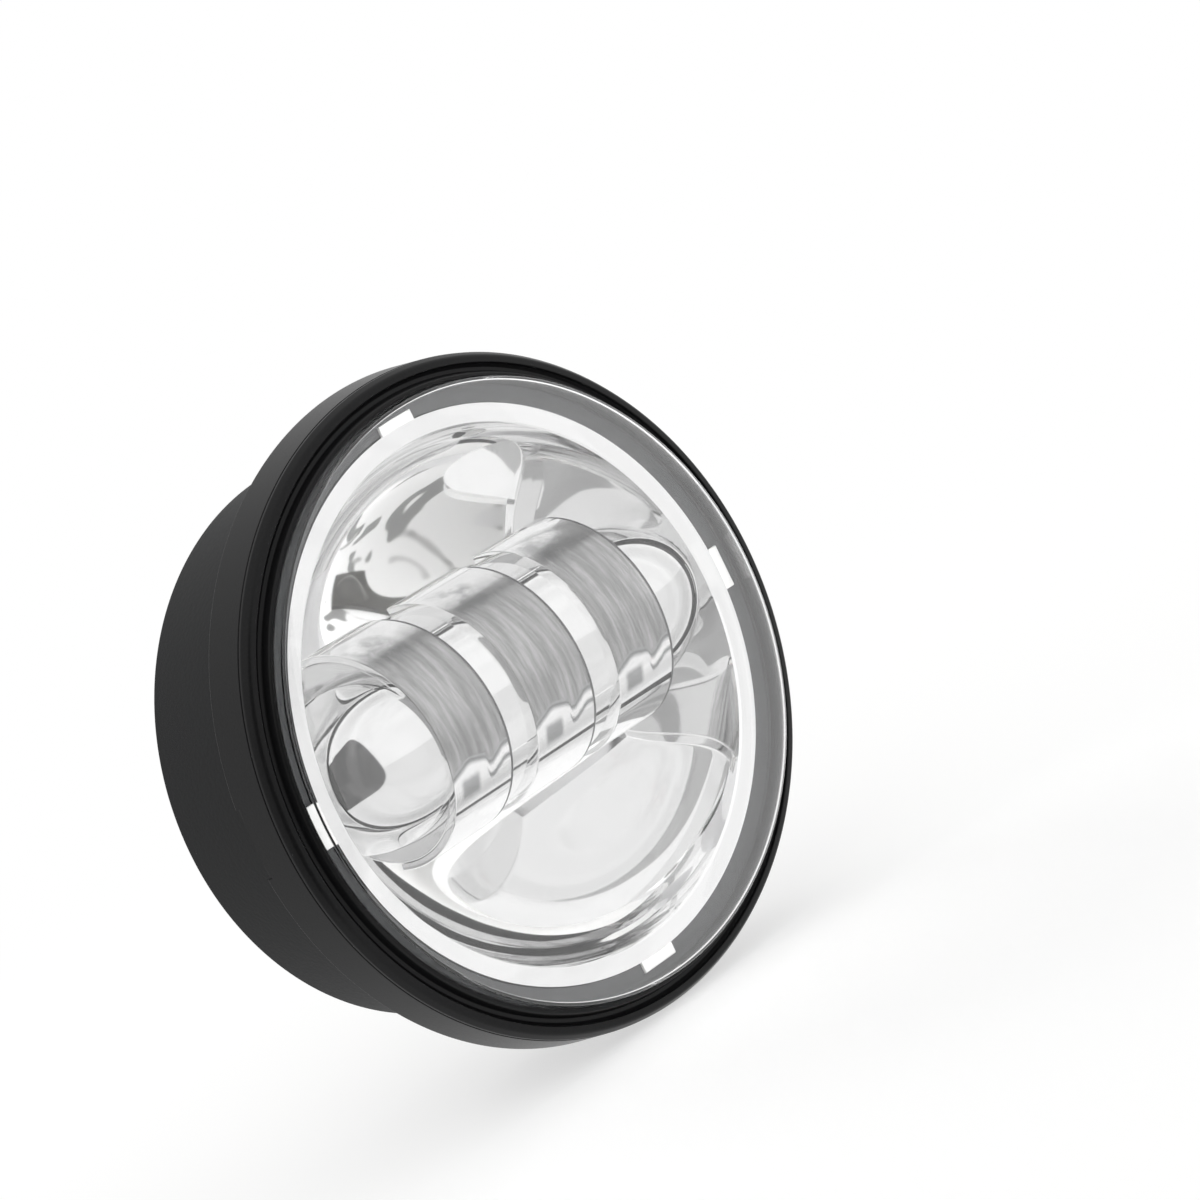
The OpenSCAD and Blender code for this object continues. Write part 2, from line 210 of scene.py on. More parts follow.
def turned_mesh(outline, steps=288, shape=None, place=(0, 0)):
    """Vertices and faces of a closed outline swept round an axis along Y that passes place, (x, z)."""
    points = rounded(outline)
    vertices, faces = [], []
    for radius, y in points:
        for k in range(steps):
            a = 2 * math.pi * k / steps
            r = shape(a, radius, y) if shape else radius
            vertices.append((place[0] + r * math.cos(a), y, place[1] + r * math.sin(a)))
    for i in range(len(points)):
        j = (i + 1) % len(points)
        if points[i][0] < ON_AXIS and points[j][0] < ON_AXIS:
            continue
        for k in range(steps):
            n = (k + 1) % steps
            faces.append((i * steps + k, j * steps + k, j * steps + n, i * steps + n))
    return vertices, faces


def turned(name, outline, material, **options):
    """A turned piece from one outline."""
    return mesh_piece(name, *turned_mesh(outline, **options), material)


def many(name, parts, material):
    """One piece from several meshes, given as (vertices, faces) pairs."""
    vertices, faces = [], []
    for part_vertices, part_faces in parts:
        shift = len(vertices)
        vertices += part_vertices
        faces += [tuple(v + shift for v in face) for face in part_faces]
    return mesh_piece(name, vertices, faces, material)


# %% Boxes, cuts and the frame
def block(low, high):
    """Vertices and faces of a box from its lowest to its highest corner."""
    corners = [(x, y, z) for x in (low[0], high[0]) for y in (low[1], high[1]) for z in (low[2], high[2])]
    faces = [(0, 1, 3, 2), (4, 6, 7, 5), (0, 4, 5, 1), (2, 3, 7, 6), (0, 2, 6, 4), (1, 5, 7, 3)]
    return corners, faces


def cut(piece, tool, operation="DIFFERENCE"):
    """Cuts the piece with the tool, which is then thrown away."""
    step = piece.modifiers.new("cut", "BOOLEAN")
    step.operation = operation
    step.solver = "EXACT"
    step.object = tool
    graph = bpy.context.evaluated_depsgraph_get()
    cut_mesh = bpy.data.meshes.new_from_object(piece.evaluated_get(graph))
    piece.modifiers.clear()
    piece.data = cut_mesh
    bpy.data.objects.remove(tool)
    cut_mesh.shade_smooth()
    cut_mesh.set_sharp_from_angle(angle=SHARP_ANGLE)


def soften(piece, width):
    """Rounds the piece's sharp edges by a width in millimetres."""
    bevel = piece.modifiers.new("rounded edges", "BEVEL")
    bevel.width = width * MM
    bevel.segments = 2
    bevel.limit_method = "ANGLE"
    bevel.angle_limit = SHARP_ANGLE
    bevel.use_clamp_overlap = True


def seat(piece, slot, *stands_for):
    """Puts a finished piece on the lamp: even shading, its body and the CAD nodes it shows. The slot, naming
    its finish, is not used.
    """
    piece.modifiers.new("even shading", "WEIGHTED_NORMAL").keep_sharp = True
    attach(piece, "root")
    if stands_for:
        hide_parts(*stands_for)
    print(f"{piece.name}: {len(piece.data.polygons)} faces, stands for {', '.join(stands_for) or 'itself'}")


# %% [markdown]
# ## Camera
#
# The lamp is seen from its left front and a little above, and the camera is rolled, so that the lamp seems
# to lean to the left. A long lens at three quarters of a metre keeps the circles from looking stretched.
# The camera is built from an azimuth, an elevation, a roll and the point that it looks at.

# %% Camera
AZIMUTH, ELEVATION, ROLL = (math.radians(v) for v in (-40.17, 8.10, 25.92))
DISTANCE = 0.756
FOCAL_LENGTH, SENSOR_WIDTH = 140.15, 36
AIM = Vector((12.46, -19.82, 8.56)) * MM
back = Vector((math.sin(AZIMUTH) * math.cos(ELEVATION), -math.cos(AZIMUTH) * math.cos(ELEVATION),
               math.sin(ELEVATION)))
level = Vector((math.cos(AZIMUTH), math.sin(AZIMUTH), 0))
upright = back.cross(level)
right = level * math.cos(ROLL) - upright * math.sin(ROLL)
up = level * math.sin(ROLL) + upright * math.cos(ROLL)

camera_data = bpy.data.cameras.new("camera")
camera_data.lens = FOCAL_LENGTH
camera_data.sensor_width = SENSOR_WIDTH
camera = bpy.data.objects.new("camera", camera_data)
camera.matrix_world = Matrix((right, up, back)).transposed().to_4x4()
camera.location = AIM + back * DISTANCE
bpy.context.scene.collection.objects.link(camera)
bpy.context.scene.camera = camera
print("camera at", [round(v, 3) for v in camera.location], "m, field of view",
      round(math.degrees(camera_data.angle), 1), "degrees")


# %% [markdown]
# ## Studio
#
# Bright plating has hardly a colour of its own: it shows the room. So the room is the first finish. It is a
# white tent, as studios use for polished metal, and the pale floor runs into it without a line.
# The world shows as plain white to the camera and in reflections, and gives a softer light to everything
# else, with three lamps to shape the dull surfaces. The floor mixes its own pale paint with that white, less
# of the paint the further it is from the lamp, so that it keeps a soft shadow and still ends in plain white.

# %% Tent
scene = bpy.context.scene
scene.view_settings.view_transform = "Standard"
scene.cycles.glossy_bounces = 16
scene.cycles.max_bounces = 24
scene.cycles.diffuse_bounces = 16    # light in the white inside of the bar goes to and fro many times
scene.cycles.blur_glossy = 0.0

WHITE = (1, 1, 1, 1)
TENT_LIGHT = 0.85
THROUGH_COVER, ON_DULL_PARTS = 1.22, 3.0    # the cover and each mirror on the way take some of the light
world = bpy.data.worlds.new("white tent")
scene.world = world
world.use_nodes = True
tent = world.node_tree
tent.nodes.clear()
ray = add(tent, "ShaderNodeLightPath")
seen = reckon(tent, "MAXIMUM", ray.outputs["Is Glossy Ray"], ray.outputs["Is Camera Ray"])
soft_light = add(tent, "ShaderNodeBackground", {"Color": WHITE, "Strength": TENT_LIGHT})
white = add(tent, "ShaderNodeBackground", {"Color": WHITE, "Strength": 1.0})
dull = scaled(tent, ray.outputs["Diffuse Depth"], to_min=THROUGH_COVER, to_max=ON_DULL_PARTS)
covered = add(tent, "ShaderNodeBackground", {"Color": WHITE}, {"Strength": dull})
tent_mix = mixed(tent, seen, soft_light, white)
cover_mix = mixed(tent, ray.outputs["Is Transmission Ray"], tent_mix, covered)
add(tent, "ShaderNodeOutputWorld", links={"Surface": cover_mix.outputs[0]})

# %% Floor
SHADOW_SHARE, SHADOW_START, SHADOW_END = 0.6, 60, 420
floor_paint, tree, shader = new_material("pale floor paint", Base_Color=linear("#f2f2f1"), Roughness=0.9)
ray = add(tree, "ShaderNodeLightPath")
mirrored = reckon(tree, "MAXIMUM", ray.outputs["Is Glossy Ray"], ray.outputs["Is Transmission Ray"])
spot = add(tree, "ShaderNodeTexCoord")
distance = add(tree, "ShaderNodeVectorMath", {"operation": "LENGTH"}, {0: spot.outputs["Object"]})
fade = add(tree, "ShaderNodeMapRange", {"From Min": SHADOW_START * MM, "From Max": SHADOW_END * MM,
                                        "To Min": SHADOW_SHARE, "interpolation_type": "SMOOTHSTEP"},
           {"Value": distance.outputs["Value"]})
seen = reckon(tree, "MULTIPLY", ray.outputs["Is Camera Ray"], fade.outputs["Result"])
share = reckon(tree, "MAXIMUM", seen, mirrored)
dull = reckon(tree, "MULTIPLY", ray.outputs["Is Transmission Ray"], ray.outputs["Diffuse Depth"])
glow = add(tree, "ShaderNodeEmission", {"Color": WHITE},
           {"Strength": scaled(tree, dull, to_min=1.0, to_max=ON_DULL_PARTS)})
use_shader(tree, mixed(tree, share, shader, glow))

FLOOR_HALF, FLOOR_GAP = 3000, 0.05
floor_z = cad_box[0].z / MM - FLOOR_GAP
floor = mesh_piece("floor", [(x * FLOOR_HALF, y * FLOOR_HALF, floor_z)
                             for x, y in ((-1, -1), (1, -1), (1, 1), (-1, 1))], [(0, 1, 2, 3)], floor_paint)
print("floor at", round(floor_z, 2), "mm")


# %% Lamps
def soft_box(name, place, size, radiance):
    """A square lamp that faces the fog light, placed in metres, with its brightness as radiance."""
    lamp = bpy.data.lights.new(name, "AREA")
    lamp.size = size
    lamp.energy = radiance * math.pi * size ** 2
    box = bpy.data.objects.new(name, lamp)
    box.location = place
    box.rotation_mode = "QUATERNION"
    box.rotation_quaternion = (-Vector(place)).to_track_quat("-Z", "Y")
    box.visible_glossy = box.visible_transmission = False
    scene.collection.objects.link(box)
    print(f"{name}: {lamp.energy:.1f} W")


for label, place, size, radiance in (("key lamp", (-0.9, -1.0, 1.1), 0.9, 1.6),
                                     ("side lamp", (1.3, -0.5, 0.5), 0.8, 0.8),
                                     ("rear lamp", (-0.1, 1.2, 0.9), 0.8, 4.0)):
    soft_box(label, place, size, radiance)


# %% [markdown]
# In an all-white tent a mirror has no form, so studios hold a small dark card close to it. The end
# dome then carries a dark shape that follows its curve, and thin dark lines run along the bowl. The card
# shows in reflections only: it hides nothing, and takes no light away. Seen in one mirror by way of another
# it pales, or its images would grey the whole bowl. Its corners are directions from the left dome.

# %% Dark card
def direction(azimuth, elevation):
    """Unit vector; azimuth 0 is the lamp's front, and positive is towards +X."""
    a, e = math.radians(azimuth), math.radians(elevation)
    return Vector((math.sin(a) * math.cos(e), -math.cos(a) * math.cos(e), math.sin(e)))


CARD_DISTANCE, CARD_FROM = 75, Vector((-38.7, -11.1, 4.4))
CARD_CORNERS = ((-86, -40), (-8, -25), (-17, 62), (-80, 36))
CARD_STEPS, CARD_ROUND = 48, 0.42    # 1 would be a diamond, 0 a sharp square
PALE_FROM, PALE_TO = 1.0, 2.5        # mirrors on the way to the card
card_black, tree, shader = new_material("dark card", Base_Color=(0, 0, 0, 1), Roughness=1.0,
                                        Emission_Strength=1.0)
mirrors = add(tree, "ShaderNodeLightPath").outputs["Glossy Depth"]
paler = scaled(tree, mirrors, from_min=PALE_FROM, from_max=PALE_TO)
tree.links.new(blend(tree, paler, "#5c5c5c", "#c2c2c2"), shader.inputs["Emission Color"])
use_shader(tree, mixed(tree, mirrors, add(tree, "ShaderNodeBsdfTransparent"), shader))
card_points = []
for k in range(CARD_STEPS):
    turn = 2 * math.pi * k / CARD_STEPS
    u, v = (math.copysign(abs(w) ** CARD_ROUND, w) / 2 + 0.5 for w in (math.cos(turn), math.sin(turn)))
    low, high = (Vector(CARD_CORNERS[i]).lerp(Vector(CARD_CORNERS[j]), u) for i, j in ((0, 1), (3, 2)))
    card_points.append(CARD_FROM + direction(*low.lerp(high, v)) * CARD_DISTANCE)
card = mesh_piece("dark card", card_points, [tuple(range(CARD_STEPS))], card_black)
card.visible_camera = card.visible_diffuse = card.visible_shadow = False
print("card", [round(v / MM) for v in card.dimensions], "mm")


# %% [markdown]
# # Finishes
#
# Each finish starts from what the real surface is. Patterns are measured in millimetres: Object coordinates
# are metres here, so a pattern of a given size needs one over that size as its scale.

# %% Grain of a surface
def per_mm(size):
    """Texture scale for a pattern whose cells are this many millimetres across."""
    return 1 / (size * MM)


def place_of(tree, stretch=(1, 1, 1)):
    """Object coordinates, stretched along each axis, as a source for textures."""
    spot = add(tree, "ShaderNodeTexCoord")
    return add(tree, "ShaderNodeMapping", {"Scale": stretch}, {"Vector": spot.outputs["Object"]}).outputs[0]


def noise_of(tree, vector, scale, detail, **settings):
    """A noise texture's value."""
    settings = {"Scale": scale, "Detail": detail} | settings
    return add(tree, "ShaderNodeTexNoise", settings, {"Vector": vector}).outputs["Fac"]


def grain(tree, shader, size, depth, rough, stretch=(1, 1, 1), detail=3):
    """Fine relief of this size and depth in millimetres, with a roughness that varies between two values."""
    noise = noise_of(tree, place_of(tree, stretch), per_mm(size), detail)
    tree.links.new(scaled(tree, noise, to_min=rough[0], to_max=rough[1]), shader.inputs["Roughness"])
    relief = add(tree, "ShaderNodeBump", {"Distance": depth * MM, "Strength": 1.0}, {"Height": noise})
    tree.links.new(relief.outputs["Normal"], shader.inputs["Normal"])
    return noise


def tinted(tree, shader, source, dark, pale, low=0.3, high=0.7):
    """Base colour between two hex values, following a source between low and high."""
    ramp = add(tree, "ShaderNodeValToRGB", links={"Fac": source})
    for stop, position, colour in zip(ramp.color_ramp.elements, (low, high), (dark, pale)):
        stop.position, stop.color = position, linear(colour)
    tree.links.new(ramp.outputs["Color"], shader.inputs["Base Color"])


def grained(name, colours, size, depth, rough, stretch=(1, 1, 1), detail=3, **values):
    """A grained material of one colour, or of two that its grain wanders between."""
    if len(colours) == 1:
        values["Base_Color"] = linear(colours[0])
    material, tree, shader = new_material(name, **values)
    noise = grain(tree, shader, size, depth, rough, stretch, detail)
    if len(colours) > 1:
        tinted(tree, shader, noise, *colours)
    return material


# %% [markdown]
# ## Plating
#
# The reflector is moulded plastic with a film of aluminium laid on it in a vacuum, under a thin clear
# lacquer. Aluminium mirrors about nine tenths of the light, more than chromium does, and has almost no tint.

# %% Vacuum-plated aluminium
plating = grained("vacuum-plated aluminium", ["#f7f7f7"], size=14, depth=0.02, rough=(0.02, 0.05),
                  detail=1, Metallic=1.0)
bar_plating = grained("plated bar", ["#e8e8e8"], size=6, depth=0.01, rough=(0.05, 0.1),
                      detail=2, Metallic=1.0)
dome_plating = grained("plated dome", ["#e4e4e4"], size=8, depth=0.01, rough=(0.04, 0.09),
                       detail=1, Metallic=1.0)

# The moulding is held by its tabs, where the film stays thin and the white plastic shows through.
thin_plating = grained("thin plating over white ABS", ["#cfcfce"], size=2, depth=0.01, rough=(0.4, 0.5),
                       detail=1, Metallic=0.4)

# %% [markdown]
# The three raised bands are brushed on their front: a belt has run round the arc, so that streaks of lighter
# and darker grey lie beside each other, very fine along X and long round the arc. Below, the belt left the
# curve in a wavy line and the plating stays bright, and above it fades out. Real scratches are about 0.02 mm
# wide, and these are drawn coarser so that they show. All of it is measured in the unrolled bar: millimetres
# from the middle of each band, and degrees round the arc from the front.

# %% Unrolled bar
BAR_Y, BAR_Z, BAND_R = 3.6, 2.5, 18.8
BAND_PITCH, BAND_HALF = 19.9, 7.1
brushed, bands, shader = new_material("brushed and plated band", Metallic=1.0)
spot = add(bands, "ShaderNodeTexCoord")
parts = add(bands, "ShaderNodeSeparateXYZ", links={"Vector": spot.outputs["Object"]})
turn = reckon(bands, "ARCTAN2", reckon(bands, "SUBTRACT", parts.outputs["Z"], BAR_Z * MM),
              reckon(bands, "SUBTRACT", BAR_Y * MM, parts.outputs["Y"]))
angle = reckon(bands, "DEGREES", turn)
across = reckon(bands, "WRAP", parts.outputs["X"], BAND_PITCH * MM / 2, -BAND_PITCH * MM / 2)
round_arc = reckon(bands, "MULTIPLY", turn, BAND_R * MM)
unrolled = add(bands, "ShaderNodeCombineXYZ", links={"X": parts.outputs["X"], "Y": round_arc}).outputs[0]


def step_at(source, start, end):
    """0 before start and 1 after end, with a smooth rise between them."""
    settings = {"From Min": start, "From Max": end, "interpolation_type": "SMOOTHSTEP"}
    return add(bands, "ShaderNodeMapRange", settings, {"Value": source}).outputs["Result"]


def product(first, second):
    """Two shares multiplied."""
    return reckon(bands, "MULTIPLY", first, second)


def window(source, low, high, soft):
    """1 between low and high, with soft sides."""
    return product(step_at(source, low - soft, low + soft), step_at(source, high + soft, high - soft))


def stretched_noise(width, length, detail, **settings):
    """Noise that is this wide along X and this long round the arc, in millimetres."""
    scale = (per_mm(width), per_mm(length), 1)
    vector = add(bands, "ShaderNodeMapping", {"Scale": scale}, {"Vector": unrolled})
    return noise_of(bands, vector.outputs[0], 1.0, detail, **settings)


# %% Where the belt left the curve
EDGE_LOW, EDGE_SPAN = -30, 20    # degrees
EDGE_ENDS = (0, 0.5), (1, 0.6)    # shares of the band's width and of the span
EDGE_WAVE = ((0.18, 0.66), (0.3, 0.75), (0.43, 0.7), (0.56, 0.6), (0.62, 0.42), (0.74, 0.52), (0.88, 0.66))
FADE_START, FADE_END = 68, 47    # degrees
LINE_ARCS = (-2.4, 0.6, 1.9), (-9.4, -7.2, 1.5)    # degrees above the wavy edge: from, to and softness
LOWER_START, BURR_X, BURR_ARC = (0.6, 1.4), (-5.0, -1.1, 0.6), (-34, -24, 2.2)
share_across = scaled(bands, across, from_min=-BAND_HALF * MM, from_max=BAND_HALF * MM)
belt_edge = add(bands, "ShaderNodeFloatCurve", links={"Value": share_across})
wave = belt_edge.mapping.curves[0].points
wave[0].location, wave[1].location = EDGE_ENDS
for point in EDGE_WAVE:
    wave.new(*point)
belt_edge.mapping.update()
edge_angle = reckon(bands, "MULTIPLY_ADD", belt_edge.outputs[0], EDGE_SPAN, EDGE_LOW)
above_edge = reckon(bands, "SUBTRACT", angle, edge_angle)
on_front = product(step_at(above_edge, -0.5, 1.5), step_at(angle, FADE_START, FADE_END))
first_line, lower_line = (window(above_edge, *arc) for arc in LINE_ARCS)
second_line = product(lower_line, step_at(across, *(v * MM for v in LOWER_START)))
burr = product(window(across, *(v * MM for v in BURR_X)), window(angle, *BURR_ARC))

# %% Streaks and a painted dark reflection
STREAK_W, STREAK_L, CLOUD = 1.4, 16, 4.5
# A mottled darker patch high on the front of each band, across and round the arc given below, is a painted
# dark reflection.
DARK_REFLECTION_X, DARK_REFLECTION_ARC = (-6, 1, 1.5), (42, 72, 8)
BURR_SHARE, DARK_REFLECTION_SHARE = 0.75, 0.55
streaks = stretched_noise(STREAK_W, STREAK_L, 5, Roughness=0.68)
streak_grey = blend(bands, step_at(streaks, 0.3, 0.72), "#888888", "#b9b9b9")
front_grey = blend(bands, on_front, "#f2f2f2", streak_grey)
clouds = noise_of(bands, unrolled, per_mm(CLOUD), 3)
# Painted dark reflection: clouds kept within a window round the arc and across the band.
painted_dark_reflection = product(step_at(clouds, 0.4, 0.6), product(window(angle, *DARK_REFLECTION_ARC),
                                                     window(across, *(v * MM for v in DARK_REFLECTION_X))))
marked = reckon(bands, "MAXIMUM", first_line, second_line)
for source, share in ((burr, BURR_SHARE), (painted_dark_reflection, DARK_REFLECTION_SHARE)):
    marked = reckon(bands, "MAXIMUM", marked, product(source, share))
bands.links.new(blend(bands, marked, front_grey, "#7d7e7f"), shader.inputs["Base Color"])

# %% Scratches
SCRATCH_W, SCRATCH_L, SCRATCH_DEPTH = 0.12, 12, 0.012
PLATED_ROUGH, BRUSHED_ROUGH = 0.06, 0.26
rough = scaled(bands, on_front, to_min=PLATED_ROUGH, to_max=BRUSHED_ROUGH)
bands.links.new(rough, shader.inputs["Roughness"])
relief = add(bands, "ShaderNodeBump", {"Distance": SCRATCH_DEPTH * MM},
             {"Height": stretched_noise(SCRATCH_W, SCRATCH_L, 2), "Strength": on_front})
bands.links.new(relief.outputs["Normal"], shader.inputs["Normal"])

white_moulding = grained("unplated white ABS", ("#f6f6f5", "#fafaf9"), size=1.5, depth=0.01,
                         rough=(0.35, 0.5), IOR=1.53)
# Painted shadow: dark grey on the outer face next to each band's right edge, standing in for the shade in the
# gap there.
shadow_line = grained("painted band edge shadow", ["#3a3a3b"], size=0.3, depth=0.01, rough=(0.5, 0.7))


# %% [markdown]
# ## Black and grey parts
#
# Glass-filled nylon for ring, frame and gland, powder coat on the cast body and fins, and rubber.

# %% Black finishes
nylon = grained("glass-filled nylon", ("#0b0b0c", "#131314"), size=0.35, depth=0.012, rough=(0.3, 0.42),
                IOR=1.5, Specular_IOR_Level=0.2)
powder_coat = grained("matte powder coat", ("#121213", "#191a1b"), size=0.7, depth=0.035,
                      rough=(0.48, 0.62), IOR=1.5, Specular_IOR_Level=0.18)
rubber = grained("black rubber", ("#121212", "#1c1c1c"), size=0.5, depth=0.02, rough=(0.7, 0.85), IOR=1.5)
silicone = grained("grey silicone", ("#333435", "#3c3d3e"), size=1.2, depth=0.02, rough=(0.45, 0.6),
                   IOR=1.41)

# %% [markdown]
# ## The cover
#
# Clear polycarbonate with a hard coat. Its high index of 1.585 makes the edge of the cover light up, because
# light that enters there is turned inwards.

# %% Clear polycarbonate
clear = grained("clear polycarbonate", ["#fefefe"], size=9, depth=0.002, rough=(0.0, 0.012), detail=1,
                IOR=1.585, Transmission_Weight=1.0)


# %% [markdown]
# ## Metals, boards and leads inside
#
# Most of these are sealed in and show only as reflections in the bowl, but each has its real finish.

# %% Metals
zinc_steel = grained("zinc-plated steel", ("#a4a6a9", "#b9bbbe"), size=0.4, depth=0.006,
                     rough=(0.28, 0.42), Metallic=1.0)
milled = grained("milled aluminium", ("#ededee", "#f6f6f7"), size=0.5, depth=0.01, rough=(0.3, 0.45),
                 stretch=(0.05, 1, 1), Metallic=1.0)

WINDING, WIRE_RELIEF = 0.6, 0.2    # millimetres in each radian of the rings, and their height
RADIANS = 20    # a wave texture's rings in one unit, where its scale is 1
enamelled_wire, tree, shader = new_material("enamelled copper wire", Metallic=0.6, Coat_Weight=0.6)
spot = add(tree, "ShaderNodeTexCoord")
windings = add(tree, "ShaderNodeTexWave",
               {"Scale": per_mm(WINDING) / RADIANS, "wave_type": "RINGS", "Distortion": 0.4},
               {"Vector": spot.outputs["Object"]})
tinted(tree, shader, windings.outputs["Fac"], "#6b3317", "#a8602c")
relief = add(tree, "ShaderNodeBump", {"Distance": WIRE_RELIEF * MM}, {"Height": windings.outputs["Fac"]})
tree.links.new(relief.outputs["Normal"], shader.inputs["Normal"])

# %% Boards
# The copper tracks under a white mask show as slightly darker fields with curved edges.
FIELD, TRACK = 2.6, 3
white_mask, tree, shader = new_material("white solder mask", IOR=1.5)
grain(tree, shader, size=2.0, depth=0.01, rough=(0.3, 0.4))
fields = noise_of(tree, place_of(tree), per_mm(FIELD), 1.0, Distortion=0.8)
tinted(tree, shader, fields, "#8c8c8b", "#fcfcfc", low=0.37, high=0.4)

green_mask, tree, shader = new_material("green solder mask", IOR=1.5, Roughness=0.32)
tracks = add(tree, "ShaderNodeTexBrick",
             {"Scale": per_mm(TRACK), "Mortar Size": 0.12, "Color1": linear("#1c5236"),
              "Color2": linear("#20593b"), "Mortar": linear("#2f7350")}, {"Vector": place_of(tree)})
tree.links.new(tracks.outputs["Color"], shader.inputs["Base Color"])

# %% Components and leads
phosphor = grained("silicone over phosphor", ("#3b3a36", "#4b4a45"), size=0.2, depth=0.002,
                   rough=(0.1, 0.2), IOR=1.41, Coat_Weight=0.8)
epoxy = grained("moulded epoxy", ("#1a1a1c", "#242426"), size=0.25, depth=0.01, rough=(0.4, 0.55), IOR=1.55)
thermal_silicone = grained("soft thermal silicone", ("#7496b0", "#86a8c2"), size=0.8, depth=0.03,
                           rough=(0.6, 0.75), IOR=1.41)
red_pvc, black_pvc = (grained(name, colours, size=0.6, depth=0.01, rough=(0.35, 0.45), IOR=1.53)
                      for name, colours in (("red PVC", ("#611614", "#701b18")),
                                            ("black PVC", ("#141414", "#1c1c1c"))))

FINISH = {
    "led_board_upper": white_mask, "led_board_lower": white_mask, "leds_upper": phosphor,
    "leds_lower": phosphor, "board_screws": zinc_steel, "bar_end_screws": zinc_steel,
    "driver_screws": zinc_steel, "bar_core": milled, "leads_red": red_pvc, "leads_black": black_pvc,
    "driver_board": green_mask, "driver_coil": enamelled_wire, "driver_capacitors": epoxy,
    "driver_chip": epoxy, "terminal_block": green_mask, "thermal_pad": thermal_silicone,
}
for name, material in FINISH.items():
    nodes[name].data.materials.clear()
    nodes[name].data.materials.append(material)
print(len(FINISH), "CAD nodes keep their shape and take a new finish")


# %% [markdown]
# # Pieces
#
# ## Front ring
#
# A moulded ring is glued round the cover. From the inside out it has a bead beside the cover, a deep groove,
# a small step and a land that is rounded down to its edge. Turned from one outline, each of these catches a
# thin line of light of its own. The cover's lip lies in a recess behind the bead.

# %% Front ring
def reach(node):
    """Front, rear and radius of a CAD node in millimetres."""
    low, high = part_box(node)
    return low.y / MM, high.y / MM, max(high.x, -low.x) / MM


ring_front, joint_y, ring_r = reach("front_ring")
gasket_y, lip_r = reach("lens")[1:]
LENS_R, LIP_T, GAP = 51.7, 1.8, 0.05
lip_y, recess_r, bead_r = gasket_y - LIP_T, lip_r + 0.2, LENS_R + GAP
print("ring from", round(ring_front, 2), "to", round(joint_y, 2), "radius", round(ring_r, 2))

land = [(recess_r, joint_y), (ring_r, joint_y, 0.1), (ring_r, joint_y - 0.6, 0.5),
        (ring_r - 0.75, ring_front + 1.25, 1.0)]
groove = [(54.6, ring_front + 1.0, 0.2), (54.45, ring_front + 1.45, 0.15), (53.9, ring_front + 1.9, 0.25),
          (53.2, ring_front + 1.8, 0.3)]
bead = [(52.85, ring_front + 0.4, 0.2), (52.6, ring_front + 0.05, 0.2), (52.1, ring_front, 0.2),
        (bead_r, ring_front + 0.25, 0.1), (bead_r, lip_y), (recess_r, lip_y)]
seat(turned("front_ring_moulding", land + groove + bead, nylon), "black_moulding", "front_ring")


# %% [markdown]
# ## Cover
#
# Nearly flat in the middle and rounded down at its edge, with a short side wall that stands up from the ring.

# %% Cover
WALL_Y, CROWN, LENS_T = -12.5, 7.3, 2.2
INNER_DROP, FOOT_R = 0.4, LENS_R - 0.9
FULLNESS = (2.4, 0.62)    # powers of the curve: flat in the middle, round at the edge


def crown(radius, edge_y, rise, count=40):
    """Points of a cover surface from its centre to its edge."""
    share = [math.sin(math.pi / 2 * i / count) for i in range(count + 1)]
    return [(radius * s, edge_y - rise * (1 - s ** FULLNESS[0]) ** FULLNESS[1]) for s in share]


seat(turned("clear_cover", crown(LENS_R, WALL_Y, CROWN) + [
    (LENS_R, lip_y, 0.1), (lip_r, lip_y, 0.15), (lip_r, gasket_y, 0.15), (FOOT_R, gasket_y, 0.15)]
    + crown(FOOT_R, WALL_Y + INNER_DROP, CROWN + INNER_DROP - LENS_T)[::-1], clear), "clear_lens", "lens")


# %% [markdown]
# ## Gasket and frame
#
# The grey silicone gasket shows as a wide ring between the reflector's rim and the edge of the cover.

# %% Gasket
def washer(inner, outer, front, rear, edge):
    """Outline of a flat ring, with its edges a little rounded."""
    return [(inner, front, edge), (outer, front, edge), (outer, rear, edge), (inner, rear, edge)]


gasket_front, floor_y, gasket_r = reach("lens_gasket")
RIM_R = 47.6
seat(turned("silicone_gasket", washer(RIM_R + 0.1, gasket_r, gasket_front, floor_y, 0.1), silicone),
     "grey_silicone", "lens_gasket")

# %% Frame with its flange
CAVITY_R, BODY_R, SPIGOT_R = 45.9, 48.0, 47.3
SOCKET_Y, SEAL_T = -3.0, 0.8
NOTCH_ANGLE, NOTCH_DEPTH = math.radians(2), 1.1
flange_r = reach("front_frame")[2]
socket_end, cone_y = SOCKET_Y - SEAL_T, SPIGOT_R - BODY_R
frame_piece = turned("flange_frame", [
    (CAVITY_R, floor_y), (recess_r, floor_y), (recess_r, joint_y), (flange_r - 0.45, joint_y, 0.15),
    (flange_r, -0.4, 0.2), (flange_r - 0.4, 0, 0.2), (BODY_R, 0), (SPIGOT_R, cone_y),
    (SPIGOT_R, socket_end), (CAVITY_R, socket_end)], nylon, steps=360)
notch = mesh_piece("notch", *block((-flange_r - 1, -1.4, -6), (-flange_r + NOTCH_DEPTH, 1, 6)), nylon)
notch.data.transform(Matrix.Rotation(NOTCH_ANGLE, 4, "Y"))
cut(frame_piece, notch)
seat(frame_piece, "black_moulding", "front_frame")

# %% [markdown]
# ## Body
#
# A cast tube with a small turned step where it meets the flange and a chamfer at its rear edge. The bosses
# for the rear cover's screws stand inside it.

# %% Body
def on_circle(radius, degrees):
    """Places (x, z) on a circle round the lamp's axis."""
    return [(radius * math.cos(math.radians(a)), radius * math.sin(math.radians(a))) for a in degrees]


